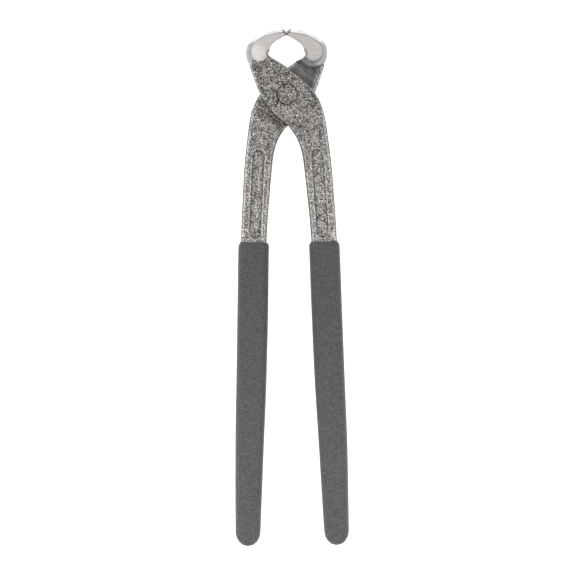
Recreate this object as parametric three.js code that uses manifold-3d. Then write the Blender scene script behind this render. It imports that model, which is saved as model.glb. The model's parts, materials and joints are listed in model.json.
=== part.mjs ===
// Hoof nipper, 300 mm long. Two identical drop-forged halves cross at a lap joint, a rivet holds them
// together, and a plastic sleeve covers each handle. Lengths are in millimetres.
//
// Every piece is drawn in the tool's own frame: the pivot's centre is the origin, the jaws point along +Y,
// the pivot runs along Z, and the two halves meet on the plane z = 0. The exported group then puts its
// origin at the middle of the closed tool's underside.

import * as THREE from "three";
import { mergeVertices } from "three/addons/utils/BufferGeometryUtils.js";
import Module from "manifold-3d";

const wasm = await Module();
wasm.setup();

// Driving dimensions of the whole tool.
const OVERALL_LENGTH = 300;
const JAW_REACH = 38.4; // from the pivot to the top of the jaws
const JAW_WIDTH = 24; // along Z, the length of the cutting edges
const JOINT_THICKNESS = 16; // both lap plates together
const HANDLE_THICKNESS = 10;
const SLEEVE_WALL = 1.5;
const SLEEVE_MOUTH_Y = -85.2;
const RIVET_RADIUS = 4;
const RIVET_HEAD_RADIUS = 6;
const CLEARANCE = 0.3; // between neighbouring pieces

const HALF_JAW = JAW_WIDTH / 2;
const HALF_JOINT = JOINT_THICKNESS / 2;
const HALF_HANDLE = HANDLE_THICKNESS / 2;
const LAP = CLEARANCE / 2; // height of a lap face over the plane where the halves meet
const TOOL_END_Y = JAW_REACH - OVERALL_LENGTH;
const TANG_END_Y = TOOL_END_Y + SLEEVE_WALL;
const FAR = 60; // past every part of the head, for cutters

// Plan of one half, front half's way round: its jaw is at -X and its handle at +X. The forging lies
// between two edges that run from the jaw to the handle, as [x, y].
const BACK_EDGE = [
  [-17.5, 25.5],
  [-21.8, 18.6],
  [-20.7, 13.4],
  [-18.6, 7],
  [-15.9, 0.5],
  [-12, -6.3],
  [-7.2, -12.3],
  [-0.4, -17.6],
  [3.2, -21.6],
  [6.3, -27.4],
  [8.4, -35],
  [9.5, -44],
];
const THROAT_EDGE = [
  [-9.8, 22.4],
  [0, 16.2],
  [8.5, 9],
  [15.6, 1.8],
  [19.6, -5.5],
  [22, -14.5],
  [23.6, -26],
  [25.3, -41],
];
const INSIDE_JAW = [-14.5, 26.5]; // where the neck ends
// The handle below them, as [y, x of its middle, half its width].
const HANDLE = [
  [-57, 18.6, 7.8],
  [-84, 20.4, 7.45],
  [-125, 21.5, 7.45],
  [-165, 22.7, 7.3],
  [-205, 24.3, 6.8],
  [-253.5, 25.7, 5.75],
];

// The jaw where it is widest, at mid-depth. It reaches past the cutting edge and over the throat, which
// are cut from it afterwards.
const JAW_OUTLINE = [
  [-2.5, JAW_REACH],
  [-8.8, 37.6],
  [-14.4, 35.7],
  [-19.2, 32.9],
  [-22.5, 29.6],
  [-23.7, 25],
  [-22.9, 20.2],
  [-20, 16.9],
  [-15.9, 15.7],
  [-11.8, 16.7],
  [-8.6, 19.4],
];
const PAST_EDGE = [
  [20, 17],
  [20, JAW_REACH],
];
// Half of the throat that the closed jaws leave, where it opens in the jaws' side faces.
const THROAT_APEX_Y = 33.8;
const THROAT_WIDEST_Y = 24.6;
const THROAT_HALF_WIDTH = 10.1;
const THROAT_SIDE = new THREE.CubicBezierCurve(
  new THREE.Vector2(0, THROAT_APEX_Y),
  new THREE.Vector2(5.5, 30.9),
  new THREE.Vector2(THROAT_HALF_WIDTH, 28.6),
  new THREE.Vector2(THROAT_HALF_WIDTH, THROAT_WIDEST_Y),
)
  .getPoints(8)
  .map(({ x, y }) => [x, y]);
const THROAT_FLOOR = [
  [9.8, 22.4],
  [0, 16.2],
];

// The cutting edge is an arc about an axis along X, so it stands higher at mid-depth than at the faces.
const EDGE_SAGITTA = 2.7;
const EDGE_LAND = 0.3; // flat left on the cutting edge
const EDGE_RADIUS = (HALF_JAW ** 2 + EDGE_SAGITTA ** 2) / (2 * EDGE_SAGITTA);
const EDGE_AXIS_Y = THROAT_APEX_Y + EDGE_LAND - Math.sqrt(EDGE_RADIUS ** 2 - HALF_JAW ** 2);
const EDGE_BEVEL_SLOPE = 0.9; // rise over run of the bevel behind the edge

// Roundings of a rim: how high each reaches and how far it comes in at the top. The flare goes out.
const JAW_RIM = { height: 13.5, inset: 6.5, steps: 7 };
const PLATE_RIM = { height: 11.4, inset: 1.9, steps: 4 };
const LAP_RIM = { height: 3, inset: 2, steps: 2 };
const HANDLE_RIM = { height: 2.6, inset: 1.7, steps: 3 };
const SLEEVE_RIM = { height: 4.6, inset: 3.4, steps: 4 };
const SHOULDER_RIM = { height: 4.9, inset: 3, steps: 3 };
const THROAT_FLARE = { height: 12, inset: -2.6, steps: 5 };

const shapeOf = (points) => new THREE.Shape(points.map(([x, y]) => new THREE.Vector2(x, y)));
const vectors = (points) => points.map(([x, y]) => new THREE.Vector2(x, y));
const mirrored = (points) => points.map(([x, y]) => [-x, y]);

// A closed geometry as a solid that can be cut and joined.
function solidOf(geometry) {
  const bare = new THREE.BufferGeometry();
  bare.setAttribute("position", geometry.getAttribute("position"));
  bare.setIndex(geometry.index);
  const merged = mergeVertices(bare, 1e-4);
  const vertProperties = merged.getAttribute("position").array;
  const triVerts = new Uint32Array(merged.index.array);
  return new wasm.Manifold(new wasm.Mesh({ numProp: 3, vertProperties, triVerts }));
}

function geometryOf(solid) {
  const mesh = solid.getMesh();
  const geometry = new THREE.BufferGeometry();
  geometry.setAttribute("position", new THREE.BufferAttribute(mesh.vertProperties, 3));
  geometry.setIndex(new THREE.BufferAttribute(mesh.triVerts, 1));
  geometry.computeVertexNormals();
  return geometry;
}

// A slab between two heights whose rim is rounded on both sides. Its outline can be grown sideways.
function slab(shape, low, high, rim, grow = 0, curveSegments = 4) {
  const geometry = new THREE.ExtrudeGeometry(shape, {
    depth: high - low - 2 * rim.height,
    bevelThickness: rim.height,
    bevelSize: rim.inset,
    bevelOffset: grow - rim.inset,
    bevelSegments: rim.steps,
    curveSegments,
  });
  return solidOf(geometry.translate(0, 0, low + rim.height));
}

function prism(shape, low, high) {
  const geometry = new THREE.ExtrudeGeometry(shape, { depth: high - low, bevelEnabled: false });
  return solidOf(geometry.translate(0, 0, low));
}

// A prism along X whose outline is given as [y, z].
function sidePrism(points, halfLength) {
  const geometry = new THREE.ExtrudeGeometry(shapeOf(points), {
    depth: 2 * halfLength,
    bevelEnabled: false,
  });
  geometry.translate(0, 0, -halfLength);
  const turn = new THREE.Matrix4().makeBasis(
    new THREE.Vector3(0, 1, 0),
    new THREE.Vector3(0, 0, 1),
    new THREE.Vector3(1, 0, 0),
  );
  return solidOf(geometry.applyMatrix4(turn));
}

// A solid of revolution about the axis along X that the cutting edge turns on, from [x, radius] points.
function turnedAboutEdgeAxis(points) {
  const profile = points.map(([x, radius]) => new THREE.Vector2(radius, x));
  const geometry = new THREE.LatheGeometry(profile, 96);
  geometry.rotateZ(-Math.PI / 2);
  return solidOf(geometry.translate(0, EDGE_AXIS_Y, 0));
}

// Plan outline of a whole half, from inside the jaw to the tip of the tang.
function halfOutline() {
  const inner = HANDLE.map(([y, x, half]) => [x - half, y]);
  const outer = HANDLE.map(([y, x, half]) => [x + half, y]);
  const down = vectors([...BACK_EDGE, ...inner]);
  const up = vectors([...THROAT_EDGE, ...outer]).reverse();
  const [tipY, tipX, tipHalf] = HANDLE.at(-1);
  const shape = new THREE.Shape();
  shape.moveTo(down[0].x, down[0].y);
  shape.splineThru(down.slice(1));
  shape.absellipse(tipX, tipY, tipHalf, tipY - TANG_END_Y, Math.PI, 2 * Math.PI);
  shape.splineThru(up.slice(1));
  shape.lineTo(...INSIDE_JAW);
  shape.closePath();
  return shape;
}

// The throat as it opens in the side faces, with the hollow behind the cutting edge.
function throatCutter() {
  const right = [...THROAT_SIDE, ...THROAT_FLOOR];
  const left = mirrored(right).slice(1, -1).reverse();
  const opening = prism(shapeOf([...right, ...left]), -FAR, FAR);
  const rounding = new THREE.Shape().absellipse(0, 23, THROAT_HALF_WIDTH, 4, 0, 2 * Math.PI);
  const flare = slab(rounding, -HALF_JAW - 1, HALF_JAW + 1, THROAT_FLARE, 0, 14);
  const radiusAt = (y) => Math.hypot(y - EDGE_AXIS_Y, HALF_JAW);
  const side = THROAT_SIDE.map(([x, y]) => [x, radiusAt(y)]);
  const end = side.at(-1)[0];
  const spindle = turnedAboutEdgeAxis([
    [-end, 0],
    ...mirrored(side).reverse().slice(0, -1),
    ...side,
    [end, 0],
  ]);
  const upperOnly = sidePrism(
    [
      [THROAT_WIDEST_Y, -HALF_JAW - 1],
      [FAR, -HALF_JAW - 1],
      [FAR, HALF_JAW + 1],
      [THROAT_WIDEST_Y, HALF_JAW + 1],
    ],
    FAR,
  );
  return opening.add(flare).add(spindle.intersect(upperOnly));
}

// The ring that grinding the bevels takes away over the closed cutting edges.
function bevelCutter() {
  const reach = 9;
  const rise = reach * EDGE_BEVEL_SLOPE;
  return turnedAboutEdgeAxis([
    [0, EDGE_RADIUS],
    [-reach, EDGE_RADIUS + rise],
    [-reach, FAR],
    [reach, FAR],
    [reach, EDGE_RADIUS + rise],
    [0, EDGE_RADIUS],
  ]);
}

function jaw() {
  const outline = new THREE.Shape();
  const points = vectors(JAW_OUTLINE);
  outline.moveTo(points[0].x, points[0].y);
  outline.splineThru(points.slice(1));
  for (const [x, y] of PAST_EDGE) {
    outline.lineTo(x, y);
  }
  outline.closePath();
  const block = slab(outline, -JAW_RIM.height - 0.5, JAW_RIM.height + 0.5, JAW_RIM);
  const keep = prism(
    shapeOf([
      [-FAR, -FAR],
      [-LAP, -FAR],
      [-LAP, FAR],
      [-FAR, FAR],
    ]),
    -HALF_JAW,
    HALF_JAW,
  );
  return block.intersect(keep).subtract(throatCutter()).subtract(bevelCutter());
}

// The neck and lap plate, which lie on one side of the meeting plane. The outer face slopes up to the jaw
// and down to the handle.
function lapPlate(outline) {
  const outerFace = sidePrism(
    [
      [-36, LAP - 1],
      [FAR, LAP - 1],
      [FAR, 11.2],
      [19, 11.2],
      [15.5, 10.7],
      [9.5, 9],
      [5, 8.2],
      [1, HALF_JOINT],
      [-12, HALF_JOINT],
      [-17, 7.5],
      [-24, 5.4],
      [-36, 2.2],
    ],
    FAR,
  );
  const rounded = slab(outline, -2 * PLATE_RIM.height, PLATE_RIM.height, PLATE_RIM);
  const overLap = slab(outline, LAP, LAP + 30, LAP_RIM);
  return rounded.intersect(overLap).intersect(outerFace);
}

// The handle and tang, symmetric about the meeting plane. They start at the shoulder that stops the other
// half when the jaws are fully open.
function handleBar(outline) {
  const belowShoulder = slab(
    shapeOf([
      [24, -2.4],
      [19.6, -5.2],
      [13, -9.8],
      [6.5, -14.5],
      [0, -19],
      [-6, -23.6],
      [-6, TOOL_END_Y - 5],
      [FAR, TOOL_END_Y - 5],
      [FAR, -2.4],
    ]),
    -HALF_HANDLE,
    HALF_HANDLE,
    SHOULDER_RIM,
  );
  return slab(outline, -HALF_HANDLE, HALF_HANDLE, HANDLE_RIM).intersect(belowShoulder);
}

// The long recess in each side of a handle, with round ends and sloping walls.
const RECESS = { top: [17, -35.3], bottom: [19.7, -79.6], halfWidth: 3.4, depth: 1.3, draft: 0.8 };

function recessCutter() {
  const top = new THREE.Vector2(...RECESS.top);
  const bottom = new THREE.Vector2(...RECESS.bottom);
  const heading = bottom.clone().sub(top).angle();
  const shape = new THREE.Shape();
  shape.absarc(top.x, top.y, RECESS.halfWidth, heading + Math.PI / 2, heading + (3 * Math.PI) / 2);
  shape.absarc(bottom.x, bottom.y, RECESS.halfWidth, heading - Math.PI / 2, heading + Math.PI / 2);
  const rim = { height: RECESS.depth, inset: RECESS.draft, steps: 1 };
  const floor = HALF_HANDLE - RECESS.depth;
  return slab(shape, floor, floor + 6, rim, 0, 8).add(slab(shape, -floor - 6, -floor, rim, 0, 8));
}

// The rivet, and the hole for it when grown by the clearance.
function rivet(grow) {
  const shank = RIVET_RADIUS + grow;
  const head = RIVET_HEAD_RADIUS + grow;
  const dome = 0.8;
  const face = HALF_JOINT;
  const profile = [
    [0, face + dome],
    [head * 0.45, face + dome * 0.85],
    [head * 0.8, face + dome * 0.5],
    [head, face - 0.1],
    [head, face - 0.7],
    [shank, face - 0.7 - (head - shank)],
  ];
  const lower = profile.map(([radius, z]) => [radius, -z]);
  const points = vectors([...lower, ...profile.reverse()]);
  return solidOf(new THREE.LatheGeometry(points, 48).rotateX(Math.PI / 2));
}

function rivetHole() {
  const over = prism(shapeOf([[-9, -9], [9, -9], [9, 9], [-9, 9]]), HALF_JOINT - 0.2, FAR);
  const mouth = new THREE.CylinderGeometry(
    RIVET_HEAD_RADIUS + CLEARANCE,
    RIVET_HEAD_RADIUS + CLEARANCE,
    2 * FAR,
    48,
  );
  const openMouth = solidOf(mouth.rotateX(Math.PI / 2)).intersect(over);
  return rivet(CLEARANCE).add(openMouth);
}

const OUTLINE = halfOutline();

function forgedHalf() {
  const bar = handleBar(OUTLINE).subtract(recessCutter());
  return jaw().add(lapPlate(OUTLINE)).add(bar).subtract(rivetHole());
}

// The sleeve, whose mouth is square to the handle.
function sleeve() {
  const outerHalf = HALF_HANDLE + SLEEVE_WALL;
  const skin = slab(OUTLINE, -outerHalf, outerHalf, SLEEVE_RIM, SLEEVE_WALL);
  const hollow = slab(
    OUTLINE,
    -HALF_HANDLE - CLEARANCE,
    HALF_HANDLE + CLEARANCE,
    HANDLE_RIM,
    CLEARANCE,
  );
  const slope = 0.03; // the handle leans out this much per millimetre
  const mouthAt = (x) => SLEEVE_MOUTH_Y + slope * (x - HANDLE[1][1]);
  const below = prism(
    shapeOf([
      [0, mouthAt(0)],
      [0, TOOL_END_Y - 5],
      [FAR, TOOL_END_Y - 5],
      [FAR, mouthAt(FAR)],
    ]),
    -FAR,
    FAR,
  );
  return skin.intersect(below).subtract(hollow);
}

const hammeredPaint = { color: 0x85817e, roughness: 0.38, metalness: 0.75 };
const MATERIALS = {
  forging: new THREE.MeshStandardMaterial(hammeredPaint),
  rivet: new THREE.MeshStandardMaterial(hammeredPaint),
  sleeve: new THREE.MeshStandardMaterial({ color: 0x646161, roughness: 0.8, metalness: 0 }),
};

function piece(name, solid, material) {
  const mesh = new THREE.Mesh(geometryOf(solid), material);
  mesh.name = name;
  return mesh;
}

// One half with its sleeve. The rear half is the same forging turned over about the tool's long axis.
function lever(side, turn) {
  const group = new THREE.Group();
  group.add(piece(`${side}_half`, forgedHalf(), MATERIALS.forging));
  group.add(piece(`${side}_grip`, sleeve(), MATERIALS.sleeve));
  group.rotation.y = turn;
  return group;
}

const nipper = new THREE.Group();
nipper.add(lever("front", 0));
nipper.add(lever("rear", Math.PI));
nipper.add(piece("pivot_rivet", rivet(0), MATERIALS.rivet));
nipper.position.set(0, OVERALL_LENGTH / 2 - JAW_REACH, HALF_JAW);

export default nipper;
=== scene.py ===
import json
import math

import bmesh
import bpy
import numpy as np
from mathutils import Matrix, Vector
from mathutils.bvhtree import BVHTree
from mathutils.kdtree import KDTree


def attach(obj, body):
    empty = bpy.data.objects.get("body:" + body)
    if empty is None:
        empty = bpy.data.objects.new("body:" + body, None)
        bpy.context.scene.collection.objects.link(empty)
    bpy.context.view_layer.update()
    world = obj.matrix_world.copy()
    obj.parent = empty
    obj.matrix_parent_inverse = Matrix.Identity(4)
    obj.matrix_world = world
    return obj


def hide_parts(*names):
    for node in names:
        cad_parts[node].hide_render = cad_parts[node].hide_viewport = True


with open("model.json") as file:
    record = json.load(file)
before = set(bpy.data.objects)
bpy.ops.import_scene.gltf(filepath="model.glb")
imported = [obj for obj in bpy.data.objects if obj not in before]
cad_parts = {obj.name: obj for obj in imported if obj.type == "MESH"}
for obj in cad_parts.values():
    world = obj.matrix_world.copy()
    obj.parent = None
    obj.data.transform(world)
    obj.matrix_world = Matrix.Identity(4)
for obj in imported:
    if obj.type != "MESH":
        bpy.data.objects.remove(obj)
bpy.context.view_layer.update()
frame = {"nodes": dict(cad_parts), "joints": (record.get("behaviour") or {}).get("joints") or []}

# Millimetres of the half's own frame: the pivot's centre is the origin, and both halves are turned the
# front half's way round, with the jaw at -X, the handle at +X and the lap plate at +Z.
PIVOT = np.array(frame["joints"][0]["pos_m"]) * 1000
SLEEVE_MOUTH = -85.2

# Metres.
FORGING_VOXEL = 0.00036
RIVET_VOXEL = 0.00028
SLEEVE_VOXEL = 0.00045

# Shares of the faces kept in the parts that nothing shows.
TANG_KEPT, SHANK_KEPT, INNER_WALL_KEPT = 0.02, 0.05, 0.03


# ---- numbers ----

# The numbers given to ramp and band are places in millimetres, or parts of a normal, where a step starts and
# ends.

def ramp(value, low, high):
    """0 below low, 1 above high, and a smooth step between."""
    t = np.clip((value - low) / (high - low), 0, 1)
    return t * t * (3 - 2 * t)


def band(value, low, full, fading, gone):
    """0 below low and above gone, and 1 from full to fading."""
    return ramp(value, low, full) * (1 - ramp(value, fading, gone))


def blend(a, b, share):
    """a where share is 0, and b where it is 1."""
    return a * (1 - share) + b * share


def random_of(cell, seed):
    """One number from 0 to 1 for each whole-numbered cell."""
    c = cell.astype(np.int64)
    h = c[:, 0] * 73856093 ^ c[:, 1] * 19349663 ^ c[:, 2] * 83492791 ^ (seed * 2654435761)
    h = h & 0xFFFFFFFF
    h = ((h ^ (h >> 16)) * 0x45D9F3B) & 0xFFFFFFFF
    h = ((h ^ (h >> 16)) * 0x45D9F3B) & 0xFFFFFFFF
    return ((h ^ (h >> 16)) & 0xFFFFFF) / float(0x1000000)


def cells(points, seed):
    """Distances to the nearest and second nearest droplet, and the nearest one's own random number."""
    base = np.floor(points)
    first = np.full(len(points), 9.0)
    second = np.full(len(points), 9.0)
    own = np.zeros(len(points))
    for i in (-1, 0, 1):
        for j in (-1, 0, 1):
            for k in (-1, 0, 1):
                cell = base + (i, j, k)
                jitter = np.stack([random_of(cell, seed + n) for n in range(3)], 1)
                away = np.linalg.norm(cell + jitter - points, axis=1)
                nearer = away < first
                second = np.where(nearer, first, np.minimum(second, away))
                own = np.where(nearer, jitter[:, 0], own)
                first = np.where(nearer, away, first)
    return first, second, own


def value_noise(points, seed):
    """Smooth noise from 0 to 1 with one lump to a unit."""
    base = np.floor(points)
    t = points - base
    t = t * t * (3 - 2 * t)
    total = np.zeros(len(points))
    for i in (0, 1):
        for j in (0, 1):
            for k in (0, 1):
                weight = np.ones(len(points))
                for axis, step in enumerate((i, j, k)):
                    weight = weight * (t[:, axis] if step else 1 - t[:, axis])
                total += weight * random_of(base + (i, j, k), seed)
    return total


# ---- meshes ----

def copy_of(node, name):
    piece = bpy.data.objects.new(name, frame["nodes"][node].data.copy())
    piece.data.materials.clear()
    bpy.context.scene.collection.objects.link(piece)
    return piece


def apply_modifiers(piece):
    bpy.context.view_layer.update()
    evaluated = piece.evaluated_get(bpy.context.evaluated_depsgraph_get())
    mesh = bpy.data.meshes.new_from_object(evaluated)
    piece.modifiers.clear()
    piece.vertex_groups.clear()
    piece.data = mesh


def voxel_remesh(piece, size):
    modifier = piece.modifiers.new("voxels", "REMESH")
    modifier.mode = "VOXEL"
    modifier.voxel_size = size
    modifier.adaptivity = 0
    modifier.use_smooth_shade = True
    apply_modifiers(piece)


def thin_out(piece, hidden, keep_ratio):
    """Takes most of the faces out of the part that nothing shows."""
    group = piece.vertex_groups.new(name="hidden")
    group.add([int(i) for i in np.nonzero(hidden)[0]], 1.0, "REPLACE")
    share = float(np.count_nonzero(hidden)) / len(hidden)
    modifier = piece.modifiers.new("thin", "DECIMATE")
    modifier.vertex_group = "hidden"
    modifier.ratio = 1 - share * (1 - keep_ratio)
    apply_modifiers(piece)


def read(mesh, what="co"):
    values = np.empty(len(mesh.vertices) * 3)
    mesh.vertices.foreach_get(what, values)
    return values.reshape(-1, 3)


def write(mesh, points):
    mesh.vertices.foreach_set("co", points.ravel())
    mesh.update()


def smoothed(points, mesh, weight, rounds):
    """Each round moves a point half of its weight of the way to the middle of its neighbours."""
    ends = np.empty(len(mesh.edges) * 2, np.int64)
    mesh.edges.foreach_get("vertices", ends)
    a, b = ends[0::2], ends[1::2]
    count = len(points)
    degree = np.maximum(np.bincount(a, minlength=count) + np.bincount(b, minlength=count), 1)
    for _ in range(rounds):
        total = np.stack(
            [
                np.bincount(a, points[b, k], count) + np.bincount(b, points[a, k], count)
                for k in range(3)
            ],
            1,
        )
        points = points + 0.5 * weight[:, None] * (total / degree[:, None] - points)
    return points


def attribute(mesh, name, values):
    layer = mesh.attributes.new(name, "FLOAT", "POINT")
    layer.data.foreach_set("value", np.asarray(values, np.float32))


def to_half(points, side):
    """From metres in the frame to the half's own frame: side is 1 for the front half and -1 for the rear."""
    return (points * 1000 - PIVOT) * (side, 1, side)


def from_half(points, side):
    return (points * (side, 1, side) + PIVOT) / 1000


# ---- hammered paint ----

DROPLET_SIZE = 1.19
DROPLET_SIZE_LOST_DOWN_HANDLE = 0.18
# Lumps that bend the droplets out of shape, and how far they do it.
WARP_SIZE, WARP = 1.9, 0.8
# The width of a seam and the radius of a dome, as parts of a droplet, and the height that a dome starts at.
SEAM_WIDTH, DOME_RADIUS, DOME_FOOT = 0.36, 0.85, 0.45
# The height at which paint lies on the CAD's surface, of 0 in a seam to 1 on top of a droplet.
PAINT_DATUM = 0.6
FORGING_DROPLET_RISE = 0.12
RIVET_DROPLET_RISE = 0.11


def hammered(points, seed):
    """Height of hammered paint's droplets, 0 in the seams and 1 on top, and each one's own tone."""
    warp = np.stack([value_noise(points / WARP_SIZE, seed + 20 + n) for n in range(3)], 1) - 0.5
    size = DROPLET_SIZE - DROPLET_SIZE_LOST_DOWN_HANDLE * ramp(-points[:, 1], 5, 45)
    first, second, own = cells((points + warp * WARP) / size[:, None], seed)
    seam = ramp(second - first, 0.0, SEAM_WIDTH)
    dome = 1 - np.clip(first / DOME_RADIUS, 0, 1) ** 2
    return seam * (DOME_FOOT + (1 - DOME_FOOT) * dome), own


# ---- shape of the forged halves ----

# Lines on a half in plan, seen from its lap side: the step that the other half swings over, the edge of what
# the other half covers when closed, the line of a painted highlight on the lap, and the middle line of the
# handle's recess.
SHOULDER = [(24, -2.4), (19.6, -5.2), (13, -9.8), (6.5, -14.5), (0, -19), (-6, -23.6)]
COVERED_TO = [(9, 22), (0, 16.2), (-8.5, 9), (-15.6, 1.8), (-22, -5)]
LAP_LINE = [(-18.1, 14.3), (-17.6, 12.4), (-14.9, 5.2), (-13.2, 1.5)]
RECESS = [(17, -35.3), (19.7, -79.6)]
# The cutting edge's arc, about an axis along X.
EDGE_RADIUS, EDGE_AXIS_Y, EDGE_BEVEL_SLOPE = 28.02, 8.78, 0.9

# Sharp edges of the CAD that stay crisp: their least angle in radians, the metres between the points taken
# along them, and the height that they start at.
CRISP_ANGLE, CRISP_STEP, CRISP_FROM = 0.6, 0.0002, 14.5
FAR_FROM_CRISP = 9.0

# The tang is thinned out where its sleeve hides it, and left unsmoothed there.
TANG_THIN_BELOW_MOUTH = 11
TANG_STILL_BELOW_MOUTH, TANG_SMOOTH_BELOW_MOUTH = 9, 5

# Rounds of smoothing, and the share of it that the ground edges get.
FORGED_ROUNDS, PLATE_ROUNDS, SHOULDER_ROUNDS, RIVET_ROUNDS, SLEEVE_ROUNDS = 11, 16, 60, 6, 8
CRISP_SHARE = 0.1

EDGE_PUSH = 0.125
RIVET_HEAD_PULL = 0.22
RIVET_SEAT_PULL = RIVET_HEAD_PULL * 1.35

# Rows across the tool, for finding its outline.
ROW_HEIGHT, ROW_COUNT, ROWS_FROM_Y = 0.5, 641, -260


def distance_to(line, x, y):
    nearest = np.full(len(x), 1e9)
    for (ax, ay), (bx, by) in zip(line, line[1:]):
        dx, dy = bx - ax, by - ay
        t = np.clip(((x - ax) * dx + (y - ay) * dy) / (dx * dx + dy * dy), 0, 1)
        nearest = np.minimum(nearest, np.hypot(ax + t * dx - x, ay + t * dy - y))
    return nearest


def from_side(x, y):
    """How far inside the outline each point is, from the widest points level with it."""
    row = np.clip(((y - ROWS_FROM_Y) / ROW_HEIGHT).astype(int), 0, ROW_COUNT - 1)
    left, right = np.full(ROW_COUNT, 1e9), np.full(ROW_COUNT, -1e9)
    np.minimum.at(left, row, x)
    np.maximum.at(right, row, x)
    return np.minimum(x - left[row], right[row] - x)


class Solid:
    """A CAD node's surface, and the sharp edges of its jaw."""

    def __init__(self, node):
        mesh = bmesh.new()
        mesh.from_mesh(frame["nodes"][node].data)
        bmesh.ops.remove_doubles(mesh, verts=mesh.verts, dist=1e-6)
        self.surface = BVHTree.FromBMesh(mesh)
        points = []
        for edge in mesh.edges:
            if len(edge.link_faces) == 2 and edge.calc_face_angle() > CRISP_ANGLE:
                a, b = (v.co for v in edge.verts)
                steps = max(1, int((b - a).length / CRISP_STEP))
                points += [a.lerp(b, n / steps) for n in range(steps + 1)]
        mesh.free()
        points = [p for p in points if p.y * 1000 - PIVOT[1] > CRISP_FROM]
        self.sharp = KDTree(len(points))
        for n, point in enumerate(points):
            self.sharp.insert(point, n)
        self.sharp.balance()

    def distance_to_sharp(self, points):
        return np.array([self.sharp.find(p)[2] for p in points]) * 1000

    def nearest(self, points):
        return np.array([self.surface.find_nearest(Vector(p))[0] for p in points])


def softened(mesh, solid, side):
    """A forging's points once its forged edges are soft, its ground ones crisp and its gaps closed in."""
    points = read(mesh)
    local = to_half(points, side)
    x, y, z = local.T

    # Nothing moves inside the sleeve.
    apart = np.full(len(x), FAR_FROM_CRISP)
    head = y > 13
    apart[head] = solid.distance_to_sharp(points[head])
    out_of_sleeve = ramp(y, SLEEVE_MOUTH - TANG_STILL_BELOW_MOUTH, SLEEVE_MOUTH - TANG_SMOOTH_BELOW_MOUTH)
    weight = (CRISP_SHARE + (1 - CRISP_SHARE) * ramp(apart, 0.3, 1.8)) * out_of_sleeve
    local = smoothed(local, mesh, weight, FORGED_ROUNDS)
    close = apart < 1.0
    drawn = to_half(solid.nearest(from_half(local[close], side)), side)
    local[close] += (drawn - local[close]) * (1 - ramp(apart[close], 0.5, 1.0))[:, None]

    # The painted edges of the plate are rounder still.
    x, y, z = local.T
    plate = ramp(z, 4.0, 6.0) * ramp(y, -34, -28) * (1 - ramp(y, 14, 17)) * ramp(apart, 0.5, 2.0)
    plate = plate * ramp(np.hypot(x, y), 8.5, 10)
    local = smoothed(local, mesh, plate, PLATE_ROUNDS)

    # The shoulder under the other half is a soft step.
    x, y, z = local.T
    step = (1 - ramp(distance_to(SHOULDER, x, y), 2.8, 4.8)) * ramp(-z, -0.4, 0.1)
    local = smoothed(local, mesh, step, SHOULDER_ROUNDS)

    # The cutting edges all but touch.
    local[:, 0] += EDGE_PUSH * ramp(local[:, 0], -0.9, -0.16) * ramp(local[:, 1], 30, 32)

    # The paint all but closes the gap round the rivet's head.
    radius = np.hypot(local[:, 0], local[:, 1])
    seat = ramp(np.abs(local[:, 2]), 6.6, 7.0) * (1 - ramp(radius, 6.4, 8.5)) * (radius > 5.0)
    local[:, :2] *= (1 - RIVET_SEAT_PULL * seat / np.maximum(radius, 1))[:, None]
    return local


# ---- looks of the forged halves ----

# How bright the bare steel is, part by part, with painted highlights and painted shade on some parts.
BACK_SHINE = 0.282
TOP_SHINE_ADDED, TOP_MIDDLE_SHINE_LOST = 0.293, 0.12
THROAT_SHINE, THROAT_SHINE_LOST_AT_TOP = 0.98, 0.62
LOW_WALL_SHINE, LOW_WALL_SHINE_LOST_OUTWARD = 0.455, 0.21
LAP_SHINE, LAP_SHINE_BEYOND_LINE, LAP_LINE_SHINE_ADDED = 0.14, 0.20, 0.22
PLATE_SIDE_FACE_SHINE, PLATE_SIDE_FACE_LOBE_SHINE_ADDED = 0.48, 0.17
LAP_SIDE_FACE_SHINE = 0.465
NOTCH_SHINE, NOTCH_SHINE_LOST_AT_SIDES = 0.19, 0.1
ARC_LIGHT, ARC_DARK = 0.45, 0.4
# The lap's darkest streak and what its lightest one adds, and how dark the painted shade along the other
# half's edge makes it.
STREAK_LEAST, STREAK_RANGE = 0.36, 1.22
EDGE_SHADE_LEAST = 0.55

# How bright the paint is on the plate, and the painted light added lower down and along the handle.
PAINT_LEVEL, PAINT_LEVEL_ADDED_BELOW_JOINT, PAINT_LEVEL_ADDED_ON_HANDLE = 1.02, 0.13, 0.24
# How much lighter or darker the paint is on each of these parts: painted highlights and painted shade.
RIM_LIGHT, RIM_LIGHT_ADDED_ON_HEAD = 0.45, 0.2
SIDE_LIGHT, SIDE_DARK = 0.35, 0.5
RECESS_WALL_DARK, RECESS_LIP_LIGHT = 0.2, 0.3
GROOVE_DARK, RING_LIGHT = 0.12, 0.55
STEEP_DARK, STEEP_DARK_LOST_ON_HEAD = 0.42, 0.7
SHOULDER_LIGHT, SHOULDER_FLOOR_DARK = 1.25, 0.2
# How much less dappled the painted highlight lines are, the droplet tone that they have then, and what the
# parts with painted shade lose.
SIDE_EVEN, LIP_EVEN, RIM_EVEN = 0.55, 0.55, 0.22
EVEN_DROP = 0.75
WALL_DROP_LOST, STEEP_DROP_LOST = 0.3, 0.2


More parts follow.
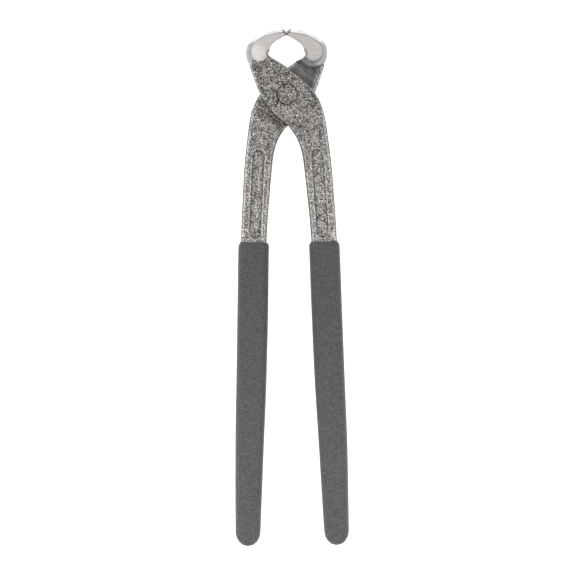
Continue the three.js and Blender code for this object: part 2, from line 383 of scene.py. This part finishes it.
class Surface:
    """Where a half's points are, and which are bare steel. Each part is 0 outside it and 1 inside."""

    def __init__(self, local, normals, side, seed):
        self.local = local
        self.x, self.y, self.z = x, y, z = local.T
        self.nx, self.ny, self.nz = nx, ny, nz = normals.T
        self.side = side
        self.seed = seed
        self.radius = np.hypot(x, y)
        self.from_shoulder = distance_to(SHOULDER, x, y)

        # The paint ends in a ragged line.
        ragged = (value_noise(local / 1.3, seed + 40) - 0.5) * 1.1
        self.face = ramp(np.abs(z), 11.8, 11.92) * ramp(np.abs(nz), 0.9, 0.97)
        self.open_side = ramp(-z, -0.6, -0.1)
        side_band = ramp(y + ragged, 17.4, 18.4) * (1 - ramp(x, -18.6, -17.6))
        jaw = np.maximum(side_band, ramp(y + 0.4 * ragged, 22.3, 23.1))
        jaw_by_lap = ramp(y, 14.5, 15.2) * ramp(-z, 0.3, 0.8) * (1 - ramp(x, -8.5, -7.5))
        jaw = np.maximum(jaw, jaw_by_lap)
        self.lap = ramp(-nz, 0.5, 0.85) * ramp(z, -2.2, -1.0) * self.open_side
        self.neck = self.open_side * ramp(y + ragged, -1.5, 0.0) * (1 - ramp(y, 22, 23))
        self.steel = np.maximum(np.maximum(self.face, jaw), self.neck)
        self.low_wall = (1 - ramp(y, 19.5, 21.5)) * self.open_side
        self.throat = ramp(nx * 0.8 - ny * 0.6, 0.15, 0.45) * ramp(y, 19, 21) * (1 - self.face)


def lap_shine_of(s):
    """How bright the scraped steel of the lap is, with painted shade along the other half's edge."""
    x, y, z = s.x, s.y, s.z
    # Painted shade: the lap is darker near the other half's edge.
    edge_shade = EDGE_SHADE_LEAST + (1 - EDGE_SHADE_LEAST) * ramp(distance_to(COVERED_TO, x, y), 0.5, 5.5)
    outside_line = ramp(distance_to(LAP_LINE, x, y), 0.2, 0.6)
    beyond = ramp(-x - 14.9 - (y - 5.2) * 0.36, 0.0, 0.5)
    shine = blend(LAP_SHINE * edge_shade, LAP_SHINE_BEYOND_LINE, beyond)
    # Painted highlight along the lap's line.
    shine = shine + LAP_LINE_SHINE_ADDED * (1 - outside_line) * ramp(y, 3.5, 5.5)
    # Long, thin streaks.
    along = np.stack([(-x * 0.78 - y * 0.62) / 7.0, (x * -0.62 + y * 0.78) / 0.75, z / 9], 1)
    return shine * (STREAK_LEAST + STREAK_RANGE * value_noise(along, s.seed + 60))


def shine_of(s):
    """How bright each part of the bare steel is: polished, ground or forged, with painted light and shade on
    several parts.
    """
    x, y, z = s.x, s.y, s.z
    # Painted highlight on the jaw's top, with painted shade in its middle.
    top = ramp(s.ny, 0.35, 0.75) * ramp(y, 28, 31)
    middle = 1 - ramp(np.abs(z), 1.5, 4.5)
    shine = BACK_SHINE + (TOP_SHINE_ADDED - TOP_MIDDLE_SHINE_LOST * middle) * top
    # Painted shade: the throat's wall is darker toward its upper side.
    throat_shine = THROAT_SHINE - THROAT_SHINE_LOST_AT_TOP * ramp(s.side * z, 7.5, 11)
    shine = blend(shine, throat_shine, s.throat)
    # Painted shade: the low wall is darker outward.
    shine = blend(shine, LOW_WALL_SHINE - LOW_WALL_SHINE_LOST_OUTWARD * ramp(-x, 12, 18), s.low_wall)

    # A painted highlight arc and a painted shade arc round the lower end of the jaw's face.
    round_face = np.hypot(x + 15, y - 24)
    bright_arc = band(round_face, 6.3, 6.8, 7.6, 8.0) * s.low_wall
    dark_arc = band(round_face, 7.9, 8.3, 8.9, 9.4) * s.low_wall
    shine = shine * (1 + ARC_LIGHT * bright_arc) * (1 - ARC_DARK * dark_arc)
    low = np.maximum(s.lap, s.neck * (1 - ramp(y, 14.8, 15.6)))
    shine = blend(shine, lap_shine_of(s), low)

    # Painted highlight: the plate side's face is brighter toward its lobe.
    lobe = 1 - ramp(np.hypot(x + 18.8, (y - 23) / 1.25), 1.0, 9.5)
    plate_side = PLATE_SIDE_FACE_SHINE + PLATE_SIDE_FACE_LOBE_SHINE_ADDED * lobe
    shine = blend(shine, np.where(z > 0, plate_side, LAP_SIDE_FACE_SHINE), s.face)

    # Painted shade: a dark line along the bevel's top and where the cutting edges meet, darker toward the
    # faces.
    off_bevel = np.hypot(y - EDGE_AXIS_Y, z) - EDGE_RADIUS - EDGE_BEVEL_SLOPE * np.abs(x)
    notch = (1 - ramp(np.abs(off_bevel), 0.5, 0.85)) * ramp(x, -5.5, -4.5) * (1 - s.face)
    notch = np.maximum(notch, ramp(x, -1.5, -0.6) * ramp(y, 33.4, 34.2)) * (1 - s.throat)
    return blend(shine, NOTCH_SHINE - NOTCH_SHINE_LOST_AT_SIDES * ramp(np.abs(z), 5, 11), notch)


def level_and_drop_of(s, height):
    """The paint's brightness, with painted highlights on the rims and painted shade on steep sides and in
    hollows, and its droplets' tone.
    """
    x, y = s.x, s.y
    tilt = 1 - np.abs(s.nz)
    inside = from_side(x, y)
    across = distance_to(RECESS, x, y)
    on_head = ramp(y, 0, 4)
    below_joint = ramp(-y, 7, 13)

    # Painted highlights on the tilted rims and just inside the outline, and a painted dark line along the
    # outline.
    rim = band(tilt, 0.03, 0.12, 0.55, 0.8) * (1 - below_joint) * ramp(s.radius, 7, 8)
    side_light = band(inside, 0.6, 0.9, 1.4, 1.9) * below_joint
    side_dark = (1 - ramp(inside, 0.3, 0.75)) * ramp(-y, -1, 3)
    # Painted shade on the handle recess's wall and a painted highlight on its lip.
    straight = ramp(-y, 24, 30) * (0.6 + 0.4 * band(-y, 35, 38, 77, 80))
    wall = band(across, 2.75, 3.0, 3.2, 3.45) * straight
    lip = band(across, 3.4, 3.7, 4.0, 4.5) * straight
    # Painted shade in the groove round the rivet's head, with a painted highlight on one side of it.
    groove = band(s.radius, 5.4, 5.7, 6.2, 6.7)
    ring_light = groove * np.clip((y - x) / np.maximum(s.radius, 1), 0, 1)
    # Painted highlight on the soft step's slope.
    slope = s.open_side * (1 - ramp(s.from_shoulder, 0.9, 2.6)) * (1 - ramp(-s.z, 4.2, 4.9))
    # Painted shade on steep sides, less on the head.
    steep = (1 - ramp(np.abs(s.nz), 0.3, 0.75)) * (1 - slope) * (1 - STEEP_DARK_LOST_ON_HEAD * on_head)
    # Painted shadow on the recess floor by the other half's edge.
    floor_of_step = ramp(-s.nz, 0.8, 0.95) * ramp(s.z, -1.2, -0.4) * s.open_side
    floor_of_step = floor_of_step * ramp(s.from_shoulder, 1.2, 2.4)

    # Painted light: the paint is lighter below the joint and along the handle.
    level = PAINT_LEVEL + PAINT_LEVEL_ADDED_BELOW_JOINT * ramp(-y, 5, 14)
    level = level + PAINT_LEVEL_ADDED_ON_HANDLE * ramp(-y, 12, 60)
    level = level * (1 + (RIM_LIGHT + RIM_LIGHT_ADDED_ON_HEAD * on_head) * rim)
    level = level * (1 + SIDE_LIGHT * side_light) * (1 - SIDE_DARK * side_dark)
    level = level * (1 - RECESS_WALL_DARK * wall) * (1 + RECESS_LIP_LIGHT * lip)
    level = level * (1 - GROOVE_DARK * groove + RING_LIGHT * ring_light)
    level = level * (1 - STEEP_DARK * steep)
    level = (level + SHOULDER_LIGHT * slope) * (1 - SHOULDER_FLOOR_DARK * floor_of_step)

    # The painted highlight lines are less dappled, and parts with painted shade lose droplet tone.
    even = np.clip(SIDE_EVEN * side_light + LIP_EVEN * lip + RIM_EVEN * rim, 0, 1)
    drop = blend(height, EVEN_DROP, even)
    return level, drop * (1 - WALL_DROP_LOST * wall) * (1 - STEEP_DROP_LOST * steep)


def forged_half(node, body, side, seed):
    """The half's looks. side is 1 for the front half and -1 for the rear one, which is turned over."""
    piece = copy_of(node, node + "_forging")
    voxel_remesh(piece, FORGING_VOXEL)
    in_sleeve = to_half(read(piece.data), side)[:, 1] < SLEEVE_MOUTH - TANG_THIN_BELOW_MOUTH
    thin_out(piece, in_sleeve, TANG_KEPT)
    mesh = piece.data
    local = softened(mesh, Solid(node), side)
    write(mesh, from_half(local, side))
    normals = read(mesh, "normal") * (side, 1, side)
    surface = Surface(local, normals, side, seed)
    height, tone = hammered(local, seed)
    level, drop = level_and_drop_of(surface, height)
    paint = 1 - surface.steel

    # The droplets are flatter on steep sides and by the rivet's head.
    rise = FORGING_DROPLET_RISE * paint * (0.4 + 0.6 * ramp(np.abs(surface.nz), 0.3, 0.8))
    rise = rise * (0.25 + 0.75 * ramp(surface.radius, 6.3, 7.5))
    raised = local + normals * ((height - PAINT_DATUM) * rise)[:, None]
    write(mesh, from_half(raised, side))

    attribute(mesh, "paint", paint)
    attribute(mesh, "shine", shine_of(surface))
    attribute(mesh, "ground", surface.face)
    attribute(mesh, "dull", surface.low_wall)
    attribute(mesh, "drop", drop)
    attribute(mesh, "tone", tone)
    attribute(mesh, "level", level)
    mesh.materials.append(forging_material(node))
    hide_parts(node)
    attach(piece, body)


# ---- materials ----

class Nodes:
    """A material and short ways to add nodes to it."""

    def __init__(self, name):
        self.material = bpy.data.materials.new(name)
        self.material.use_nodes = True
        self.tree = self.material.node_tree
        self.tree.nodes.clear()

    def add(self, kind, inputs=None, **settings):
        node = self.tree.nodes.new(kind)
        for key, value in settings.items():
            setattr(node, key, value)
        for key, value in (inputs or {}).items():
            self.put(node.inputs[key], value)
        return node

    def put(self, socket, value):
        if isinstance(value, bpy.types.NodeSocket):
            self.tree.links.new(value, socket)
        else:
            socket.default_value = value

    def math(self, operation, a, b=0.0, c=0.0):
        node = self.tree.nodes.new("ShaderNodeMath")
        node.operation = operation
        for socket, value in zip(node.inputs, (a, b, c)):
            self.put(socket, value)
        return node.outputs[0]

    def attribute(self, name):
        return self.add("ShaderNodeAttribute", attribute_name=name).outputs["Fac"]

    def position(self, scale=(1000, 1000, 1000)):
        """Place on the object in millimetres, or in metres times another scale on each axis."""
        place = self.add("ShaderNodeTexCoord").outputs["Object"]
        mapping = self.add("ShaderNodeMapping", {"Vector": place, "Scale": scale})
        return mapping.outputs["Vector"]

    def noise(self, vector, scale, detail=2.0, rough=0.5):
        node = self.add(
            "ShaderNodeTexNoise",
            {"Vector": vector, "Scale": scale, "Detail": detail, "Roughness": rough},
        )
        return node.outputs["Fac"]

    def between(self, value, low, high, out_low=0.0, out_high=1.0):
        node = self.add(
            "ShaderNodeMapRange",
            {0: value, 1: low, 2: high, 3: out_low, 4: out_high},
        )
        return node.outputs[0]

    def mix(self, factor, a, b):
        node = self.tree.nodes.new("ShaderNodeMix")
        node.data_type = "RGBA"
        self.put(node.inputs[0], factor)
        self.put(node.inputs[6], a)
        self.put(node.inputs[7], b)
        return node.outputs[2]

    def mix_value(self, factor, a, b):
        node = self.tree.nodes.new("ShaderNodeMix")
        node.data_type = "FLOAT"
        self.put(node.inputs[0], factor)
        self.put(node.inputs[2], a)
        self.put(node.inputs[3], b)
        return node.outputs[0]

    def scaled(self, colour, scale):
        node = self.add("ShaderNodeVectorMath", {0: colour}, operation="SCALE")
        self.put(node.inputs["Scale"], scale)
        return node.outputs[0]

    def bump(self, height, distance):
        return self.add("ShaderNodeBump", {"Height": height, "Distance": distance}).outputs["Normal"]

    def principled(self, inputs):
        """The finished material, with these inputs on its one shader."""
        shader = self.add("ShaderNodeBsdfPrincipled", inputs)
        self.add("ShaderNodeOutputMaterial", {"Surface": shader.outputs[0]})
        return self.material


def grey(value, warmth=0.0):
    return (value * (1 + warmth), value, value * (1 - warmth), 1)


# Bump distances in metres.
FORGING_BUMP = 0.00008
RIVET_BUMP = 0.00006
SLEEVE_BUMP = 0.00012

# Parts of the paint's tone: its droplets, each one's own, what all have, its fine grain and its broad mottle.
DROPLET_TONE, OWN_TONE, LEAST_TONE = 0.65, 0.18, 0.025
GRAIN_DARK, GRAIN_LIGHT, MOTTLE = -0.19, 0.21, 0.05
PAINT_IN_SEAMS, PAINT_BETWEEN, PAINT_ON_TOP = grey(0.035, 0.06), grey(0.25, 0.05), grey(0.76, 0.035)
PAINTED_FORGING_METALLIC, PAINTED_RIVET_METALLIC, DULL_STEEL_METALLIC = 0.5, 0.55, 0.3

VINYL_DARK, VINYL_LIGHT = (0.060, 0.056, 0.057, 1), (0.168, 0.159, 0.161, 1)
VINYL_MIDDLE = (0.125, 0.119, 0.12, 1)


def paint_nodes(n, drop, tone):
    """Colour, roughness and fine grain of grey hammered paint."""
    fine = n.noise(n.position(), 1.3, 3.0, 0.6)
    broad = n.noise(n.position(), 0.12, 2.0)
    own_tone = n.math("MULTIPLY_ADD", tone, OWN_TONE, LEAST_TONE)
    whole_tone = n.math("MULTIPLY_ADD", drop, DROPLET_TONE, own_tone)
    whole_tone = n.math("ADD", whole_tone, n.between(fine, 0.34, 0.66, GRAIN_DARK, GRAIN_LIGHT))
    whole_tone = n.math("ADD", whole_tone, n.between(broad, 0.3, 0.7, -MOTTLE, MOTTLE))
    colours = n.add("ShaderNodeValToRGB", {"Fac": whole_tone})
    stops = colours.color_ramp.elements
    stops[0].position, stops[0].color = 0.08, PAINT_IN_SEAMS
    stops[1].position, stops[1].color = 0.92, PAINT_ON_TOP
    middle = stops.new(0.5)
    middle.color = PAINT_BETWEEN
    # The level attribute brings in the painted light and shade.
    lit = n.scaled(colours.outputs["Color"], n.attribute("level"))
    return lit, n.between(fine, 0.3, 0.7, 0.32, 0.46), fine


def forging_material(name):
    n = Nodes(name + "_paint_and_steel")
    paint = n.attribute("paint")
    ground = n.attribute("ground")
    bare = n.attribute("shine")
    drop = n.attribute("drop")
    paint_colour, paint_rough, fine = paint_nodes(n, drop, n.attribute("tone"))

    # Straight fine scratches along X, grit, and the broad swirl of the ground faces.
    brush = n.noise(n.position((50, 1900, 1500)), 1.0, 4.0, 0.75)
    grit = n.noise(n.position((700, 1100, 1100)), 1.0, 2.0, 0.6)
    swirl = n.noise(n.position((160, 160, 1500)), 1.0, 4.0, 0.65)
    brushed = n.math("ADD", n.between(brush, 0.3, 0.7, 0.77, 1.19), n.between(grit, 0.3, 0.7, -0.06, 0.06))
    shine = n.math("MULTIPLY", bare, n.mix_value(ground, n.between(swirl, 0.3, 0.7, 0.62, 1.36), brushed))

    # The side faces and the dim steel are warm, and the brighter steel is cool.
    red = n.mix_value(ground, n.between(bare, 0.14, 0.24, 1.06, 1.0), 1.03)
    green = n.mix_value(ground, 0.985, 0.975)
    blue = n.mix_value(ground, n.between(bare, 0.14, 0.24, 0.98, 1.04), 0.93)
    channels = {"Red": red, "Green": green, "Blue": blue}
    channels = {channel: n.math("MULTIPLY", shine, tint) for channel, tint in channels.items()}
    steel_colour = n.add("ShaderNodeCombineColor", channels).outputs[0]
    steel_rough = n.between(brush, 0.3, 0.7, 0.34, 0.44)
    steel_metallic = n.between(n.attribute("dull"), 0, 1, 1.0, DULL_STEEL_METALLIC)

    steel_height = n.mix_value(ground, n.math("MULTIPLY", swirl, 0.6), n.math("MULTIPLY", brush, 0.2))
    paint_height = n.math("ADD", n.math("MULTIPLY", drop, 0.7), n.math("MULTIPLY", fine, 0.5))
    return n.principled({
        "Base Color": n.mix(paint, steel_colour, paint_colour),
        "Metallic": n.mix_value(paint, steel_metallic, PAINTED_FORGING_METALLIC),
        "Roughness": n.mix_value(paint, steel_rough, paint_rough),
        "Normal": n.bump(n.mix_value(paint, steel_height, paint_height), FORGING_BUMP),
    })


def rivet_material():
    n = Nodes("rivet_paint")
    drop = n.attribute("drop")
    colour, rough, fine = paint_nodes(n, drop, n.attribute("tone"))
    height = n.math("ADD", n.math("MULTIPLY", drop, 0.6), n.math("MULTIPLY", fine, 0.5))
    return n.principled({
        "Base Color": colour,
        "Metallic": PAINTED_RIVET_METALLIC,
        "Roughness": rough,
        "Normal": n.bump(height, RIVET_BUMP),
    })


def sleeve_material():
    n = Nodes("sleeve_vinyl")
    fine = n.noise(n.position(), 0.85, 4.0, 0.7)
    broad = n.noise(n.position((1000, 250, 1000)), 0.09, 2.0)
    colour = n.mix(n.between(fine, 0.32, 0.68), VINYL_DARK, VINYL_LIGHT)
    colour = n.mix(n.between(broad, 0.3, 0.7, 0.0, 0.3), colour, VINYL_MIDDLE)
    return n.principled({
        "Base Color": n.scaled(colour, n.attribute("shade")),
        "Roughness": n.between(fine, 0.3, 0.7, 0.55, 0.7),
        "Specular IOR Level": 0.35,
        "Normal": n.bump(fine, SLEEVE_BUMP),
    })


# ---- rivet and sleeves ----

RIVET_SEED = 7
SHANK_HALF_LENGTH = 6.0
# The rivet's paint brightness, and the painted highlight added on the heads' rims.
RIVET_PAINT_LEVEL, RIVET_EDGE_LEVEL_ADDED = 0.94, 0.22

# How near the tang a sleeve's point is when it is on the inner wall, in metres: for thinning out, and again
# after it.
INNER_WALL_REACH, THINNED_WALL_REACH = 0.0007, 0.0008
# Half the sleeve's width and depth at the mouth, and how far its outer edge is rounded in.
MOUTH_HALF_WIDTH, MOUTH_HALF_DEPTH, MOUTH_ROUNDING = 8.0, 6.5, 0.8
SLEEVE_WAVE, SLEEVE_PEBBLE, SLEEVE_SINK = 0.16, 0.05, 0.05
# How bright the vinyl is at the mouth, and the painted light added toward the grips' ends.
SLEEVE_SHADE, SLEEVE_SHADE_ADDED_AT_END = 0.925, 0.27


def rivet():
    piece = copy_of("pivot_rivet", "pivot_rivet_headed")
    voxel_remesh(piece, RIVET_VOXEL)
    shank = np.abs(to_half(read(piece.data), 1)[:, 2]) < SHANK_HALF_LENGTH
    thin_out(piece, shank, SHANK_KEPT)
    mesh = piece.data
    local = to_half(read(mesh), 1)
    heads = ramp(np.abs(local[:, 2]), 6.6, 7.0)
    local = smoothed(local, mesh, heads, RIVET_ROUNDS)

    # The heads are a little narrower than their seats.
    radius = np.hypot(local[:, 0], local[:, 1])
    outer = heads * ramp(radius, 3.0, 5.5)
    local[:, :2] *= (1 - RIVET_HEAD_PULL * outer / np.maximum(radius, 1))[:, None]
    write(mesh, from_half(local, 1))

    # The droplets are flatter by the heads' edges.
    height, tone = hammered(local, RIVET_SEED)
    radius = np.hypot(local[:, 0], local[:, 1])
    rise = RIVET_DROPLET_RISE * heads * (1 - 0.8 * ramp(radius, 4.6, 5.3))
    local = local + read(mesh, "normal") * ((height - PAINT_DATUM) * rise)[:, None]
    write(mesh, from_half(local, 1))

    radius = np.hypot(local[:, 0], local[:, 1])
    # Painted highlight on the heads' rims.
    edge = band(radius, 4.7, 5.2, 5.5, 5.8)
    attribute(mesh, "drop", height)
    attribute(mesh, "tone", tone)
    attribute(mesh, "level", RIVET_PAINT_LEVEL + RIVET_EDGE_LEVEL_ADDED * edge)
    mesh.materials.append(rivet_material())
    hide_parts("pivot_rivet")
    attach(piece, "rear_lever")


def on_inner_wall(tang, points, side, reach):
    near = np.array([tang.find_nearest(Vector(p), reach)[0] is not None for p in points])
    return near & (to_half(points, side)[:, 1] < SLEEVE_MOUTH - 1)


def sleeve(node, body, half, side, seed, vinyl):
    solid = frame["nodes"][half].data
    tang = BVHTree.FromPolygons([v.co for v in solid.vertices], [p.vertices for p in solid.polygons])
    piece = copy_of(node, node + "_sleeve")
    voxel_remesh(piece, SLEEVE_VOXEL)
    hidden = on_inner_wall(tang, read(piece.data), side, INNER_WALL_REACH)
    thin_out(piece, hidden, INNER_WALL_KEPT)
    mesh = piece.data
    points = read(mesh)
    weight = np.where(on_inner_wall(tang, points, side, THINNED_WALL_REACH), 0.0, 1.0)
    local = smoothed(to_half(points, side), mesh, weight, SLEEVE_ROUNDS)

    # The mouth's outer edge is rounded in.
    mouth = local[:, 1] > SLEEVE_MOUTH - 4
    lip = local[mouth]
    gap = np.array([tang.find_nearest(Vector(p))[3] for p in from_half(lip, side)]) * 1000
    pull = MOUTH_ROUNDING * ramp(lip[:, 1], SLEEVE_MOUTH - 3, SLEEVE_MOUTH) ** 2 * ramp(gap, 0.4, 1.4)
    middle = lip[:, 0].mean()
    lip[:, 0] -= pull * (lip[:, 0] - middle) / MOUTH_HALF_WIDTH
    lip[:, 2] -= pull * lip[:, 2] / MOUTH_HALF_DEPTH
    local[mouth] = lip
    write(mesh, from_half(local, side))

    # A hand-dipped skin: broad waves, and a fine pebble.
    normals = read(mesh, "normal") * (side, 1, side)
    wave = value_noise(local / (9, 26, 9), seed) - 0.5
    pebble = value_noise(local / 1.1, seed + 3) + value_noise(local / 0.7, seed + 5) - 1
    rise = (wave * SLEEVE_WAVE + pebble * SLEEVE_PEBBLE - SLEEVE_SINK) * weight
    local = local + normals * rise[:, None]
    write(mesh, from_half(local, side))
    # Painted light: the vinyl gets lighter toward the grips' ends.
    attribute(mesh, "shade", SLEEVE_SHADE + SLEEVE_SHADE_ADDED_AT_END * ramp(-local[:, 1], 90, 240))
    mesh.materials.append(vinyl)
    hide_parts(node)
    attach(piece, body)


# ---- floor, light and camera ----

# The floor falls toward the jaws, through the height 0 at this Y, and just clears the tool, all in metres.
FLOOR_SLOPE, FLOOR_LEVEL_Y, FLOOR_CLEARANCE, FLOOR_HALF_SIDE = 0.0186, 0.1296, 0.0001, 1.6
FLOOR_GLOW = 0.8

CAMERA_DISTANCE, CAMERA_VIEW_WIDTH, SENSOR_WIDTH = 1.5, 0.337, 36
CAMERA_OVER = (0.0003, -0.0016)
CAMERA_ROLL_DEGREES = -0.67
NEAREST_SEEN, FARTHEST_SEEN = 0.05, 20
PIVOT_HEIGHT = 0.012

WORLD_GREY = 0.28


def floor():
    """A white board that carries the jaws' heels and the ends of the grips."""
    corners = [(-1, -1), (1, -1), (1, 1), (-1, 1)]
    corners = [(x * FLOOR_HALF_SIDE, y * FLOOR_HALF_SIDE) for x, y in corners]
    corners = [(x, y, FLOOR_SLOPE * (FLOOR_LEVEL_Y - y) - FLOOR_CLEARANCE) for x, y in corners]
    mesh = bpy.data.meshes.new("floor")
    mesh.from_pydata(corners, [], [(0, 1, 2, 3)])
    board = bpy.data.objects.new("floor", mesh)
    bpy.context.scene.collection.objects.link(board)
    n = Nodes("floor_white")
    mottle = n.noise(n.position((1, 1, 1)), 6.0)
    mesh.materials.append(n.principled({
        "Base Color": n.mix(mottle, grey(0.90), grey(0.93)),
        "Roughness": 0.8,
        "Emission Color": (1, 1, 1, 1),
        "Emission Strength": FLOOR_GLOW,
    }))


def area(name, place, aim, size, radiance):
    light = bpy.data.lights.new(name, "AREA")
    light.shape = "RECTANGLE"
    light.size, light.size_y = size
    light.energy = radiance * math.pi * size[0] * size[1]
    lamp = bpy.data.objects.new(name, light)
    lamp.location = place
    lamp.rotation_mode = "QUATERNION"
    lamp.rotation_quaternion = (Vector(aim) - Vector(place)).to_track_quat("-Z", "Y")
    bpy.context.scene.collection.objects.link(lamp)


def camera():
    data = bpy.data.cameras.new("camera")
    data.sensor_width = SENSOR_WIDTH
    data.lens = SENSOR_WIDTH * CAMERA_DISTANCE / CAMERA_VIEW_WIDTH
    data.clip_start, data.clip_end = NEAREST_SEEN, FARTHEST_SEEN
    cam = bpy.data.objects.new("camera", data)
    cam.location = (*CAMERA_OVER, PIVOT_HEIGHT + CAMERA_DISTANCE)
    cam.rotation_euler = (0, 0, math.radians(CAMERA_ROLL_DEGREES))
    bpy.context.scene.collection.objects.link(cam)
    bpy.context.scene.camera = cam


# ---- the scene ----

# Node, body, which way round the half is, and the seed of its paint.
forged_half("front_half", "front_lever", 1, 11)
forged_half("rear_half", "rear_lever", -1, 23)
rivet()
vinyl = sleeve_material()
sleeve("front_grip", "front_lever", "front_half", 1, 31, vinyl)
sleeve("rear_grip", "rear_lever", "rear_half", -1, 47, vinyl)

# Name, place, aim and size in metres, and radiance.
floor()
area("overhead", (0, -0.1, 2.2), (0, 0, 0), (2.6, 2.8), 1.05)
area("key", (-1.0, 1.5, 1.3), (0, 0.05, 0), (0.9, 0.7), 2.4)
area("left", (-1.5, 0, 0.85), (0, 0, 0), (2.6, 0.8), 1.2)
area("right", (1.5, 0, 0.85), (0, 0, 0), (2.6, 0.8), 1.0)
camera()

world = bpy.data.worlds.new("studio")
world.use_nodes = True
world.node_tree.nodes["Background"].inputs["Color"].default_value = grey(WORLD_GREY)
bpy.context.scene.world = world
bpy.context.scene.view_settings.view_transform = "Standard"
